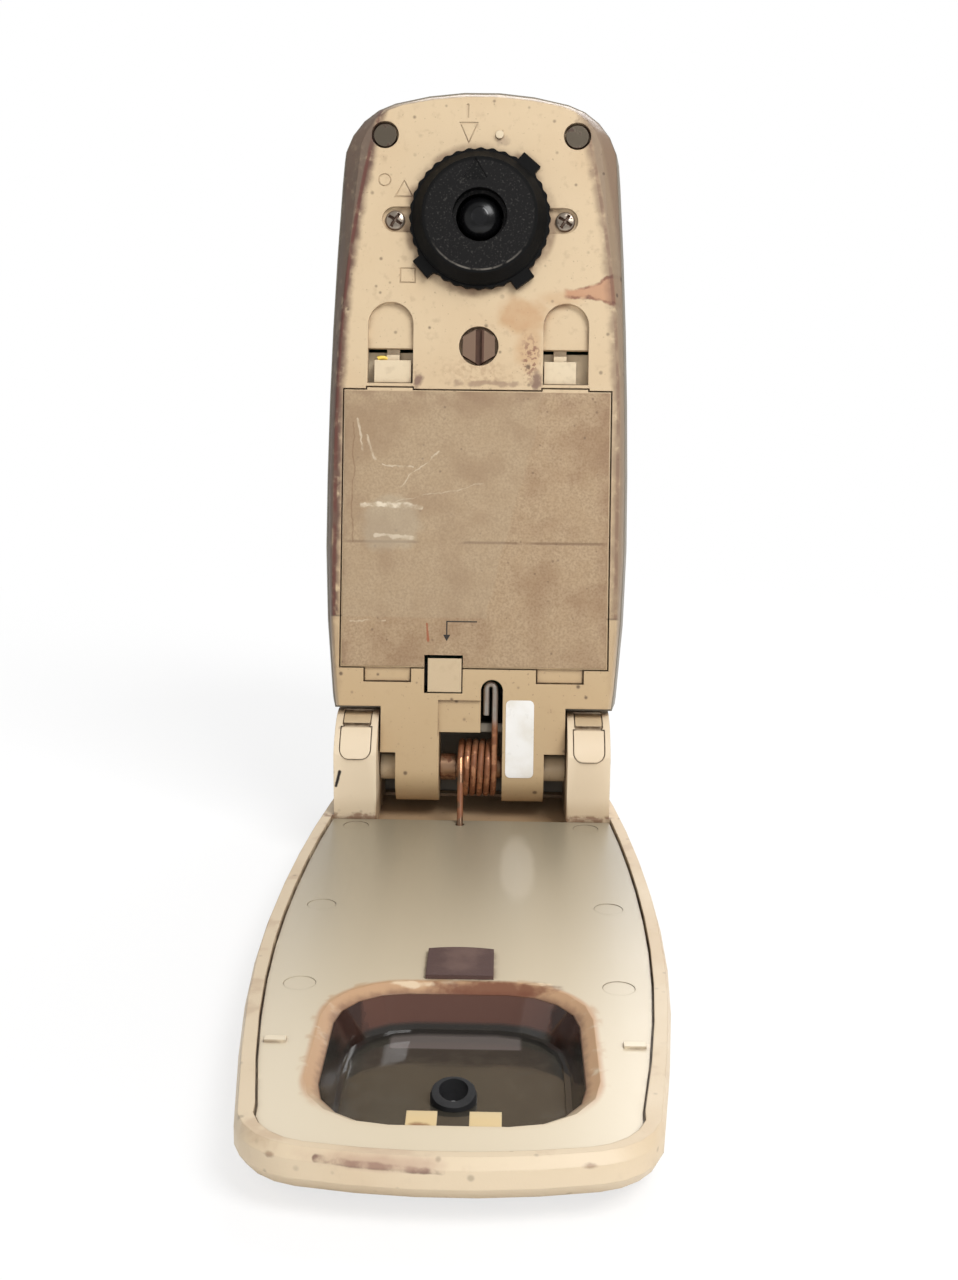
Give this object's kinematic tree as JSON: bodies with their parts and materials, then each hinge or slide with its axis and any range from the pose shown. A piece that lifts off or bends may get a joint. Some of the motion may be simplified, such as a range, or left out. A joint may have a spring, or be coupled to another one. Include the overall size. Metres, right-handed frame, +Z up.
{
  "type": "photographic densitometer",
  "caption": "Hand-held reflection densitometer folded open: long rounded instrument hinged to a flat shoe with a target window, black filter ring on its underside.",
  "frame": {"origin": "on the sole of the shoe, straight below the middle of the hinge axis", "axes": "+X along the hinge axis, to the right as seen from the target window; -Y along the shoe from the hinge to the target window; +Z up from the sole"},
  "size_m": [0.0808, 0.2593, 0.1874],
  "materials": {
    "cream_plastic": "moulded cream plastic, aged",
    "deck_plastic": "semi-gloss cream plate",
    "grey_plastic": "fine-textured warm grey",
    "black_plastic": "fine-textured black",
    "dark_plastic": "plain dark grey",
    "smoked_plastic": "smoked clear plastic",
    "rubber": "matt, worn",
    "steel": "plated",
    "rusty_steel": "rusted",
    "label": "printed film, stained, bare",
    "sticker": "white film",
    "cell_jacket": "shrink sleeve",
    "circuit_board": "glass-fibre board",
    "grey_rubber": "silicone",
    "clear_lens": "tinted window",
    "glass": "clear",
    "bush": "acetal",
    "contact": "nickel plated"
  },
  "bodies": {
    "shoe": {"shoe_frame": "cream_plastic", "shoe_deck": "deck_plastic", "deck_stakes": "cream_plastic", "target_window": "smoked_plastic", "target_ring": "black_plastic", "stop_pad": "rubber", "ear_caps": "cream_plastic", "ear_stops": "cream_plastic", "hinge_shaft": "rusty_steel", "shaft_sleeve": "rusty_steel", "torsion_spring": "rusty_steel"},
    "instrument": {"bottom_casing": "cream_plastic", "top_housing": "grey_plastic", "hinge_bushes": "bush", "casing_screws": "steel", "battery_cover": "cream_plastic", "cover_label": "label", "lug_sticker": "sticker", "battery_tray": "dark_plastic", "battery_cells": "cell_jacket", "battery_contacts": "contact", "main_circuit_board": "circuit_board", "board_components": "dark_plastic", "keypad_board": "circuit_board", "keypad_mat": "grey_rubber", "ribbon_cable": "grey_rubber", "display_module": "dark_plastic", "display_lens": "clear_lens", "ring_mount": "dark_plastic", "ring_clip": "steel", "retainer_screws": "steel", "lens_barrel": "black_plastic", "objective_lens": "glass", "optics_block": "dark_plastic", "lamp_socket": "bush", "lamp": "glass", "detector_board": "circuit_board", "hex_stop_screw": "steel", "read_switch": "dark_plastic", "saver_switch": "dark_plastic", "serial_socket": "dark_plastic", "charger_jack": "dark_plastic"},
    "filter_ring": {"filter_ring": "black_plastic"},
    "saver_button": {"saver_button": "cream_plastic"},
    "read_plunger": {"read_plunger": "cream_plastic"},
    "cover_latch_left": {"cover_latch_left": "cream_plastic"},
    "cover_latch_right": {"cover_latch_right": "cream_plastic"},
    "key_menu": {"key_menu": "grey_rubber"},
    "key_enter": {"key_enter": "grey_rubber"},
    "key_escape": {"key_escape": "grey_rubber"},
    "key_up": {"key_up": "grey_rubber"},
    "key_down": {"key_down": "grey_rubber"}
  },
  "joints": [
    {"name": "shoe_hinge", "type": "hinge", "parent": "shoe", "child": "instrument", "pos_m": [0, 0, 0.02], "axis": [1, 0, 0], "range_deg": [0, 102], "stiffness_Nm_per_rad": 0.35, "springref_deg": -20.05, "deforming": ["torsion_spring"]},
    {"name": "filter_ring_turn", "type": "hinge", "parent": "instrument", "child": "filter_ring", "pos_m": [0, 0.02844, 0.15381], "axis": [0, 0.9781, -0.2079], "range_deg": [0, 125]},
    {"name": "saver_button_press", "type": "slide", "parent": "instrument", "child": "saver_button", "axis": [0, 0.9781, -0.2079], "range_m": [0, 0.0015], "stiffness_N_per_m": 400, "springref_m": -0.001},
    {"name": "read_plunger_press", "type": "slide", "parent": "instrument", "child": "read_plunger", "axis": [0, 0.9781, -0.2079], "range_m": [0, 0.0006], "stiffness_N_per_m": 300, "springref_m": -0.001},
    {"name": "cover_latch_left_slide", "type": "slide", "parent": "instrument", "child": "cover_latch_left", "axis": [0, 0.2079, 0.9781], "range_m": [0, 0.0012], "stiffness_N_per_m": 500, "springref_m": -0.001},
    {"name": "cover_latch_right_slide", "type": "slide", "parent": "instrument", "child": "cover_latch_right", "axis": [0, 0.2079, 0.9781], "range_m": [0, 0.0012], "stiffness_N_per_m": 500, "springref_m": -0.001},
    {"name": "key_menu_press", "type": "slide", "parent": "instrument", "child": "key_menu", "axis": [0, -0.9426, 0.3338], "range_m": [0, 0.0009], "stiffness_N_per_m": 600, "springref_m": -0.001},
    {"name": "key_enter_press", "type": "slide", "parent": "instrument", "child": "key_enter", "axis": [0, -0.9426, 0.3338], "range_m": [0, 0.0009], "stiffness_N_per_m": 600, "springref_m": -0.001},
    {"name": "key_escape_press", "type": "slide", "parent": "instrument", "child": "key_escape", "axis": [0, -0.9426, 0.3338], "range_m": [0, 0.0009], "stiffness_N_per_m": 600, "springref_m": -0.001},
    {"name": "key_up_press", "type": "slide", "parent": "instrument", "child": "key_up", "axis": [0, -0.9426, 0.3338], "range_m": [0, 0.0009], "stiffness_N_per_m": 600, "springref_m": -0.001},
    {"name": "key_down_press", "type": "slide", "parent": "instrument", "child": "key_down", "axis": [0, -0.9426, 0.3338], "range_m": [0, 0.0009], "stiffness_N_per_m": 600, "springref_m": -0.001}
  ]
}
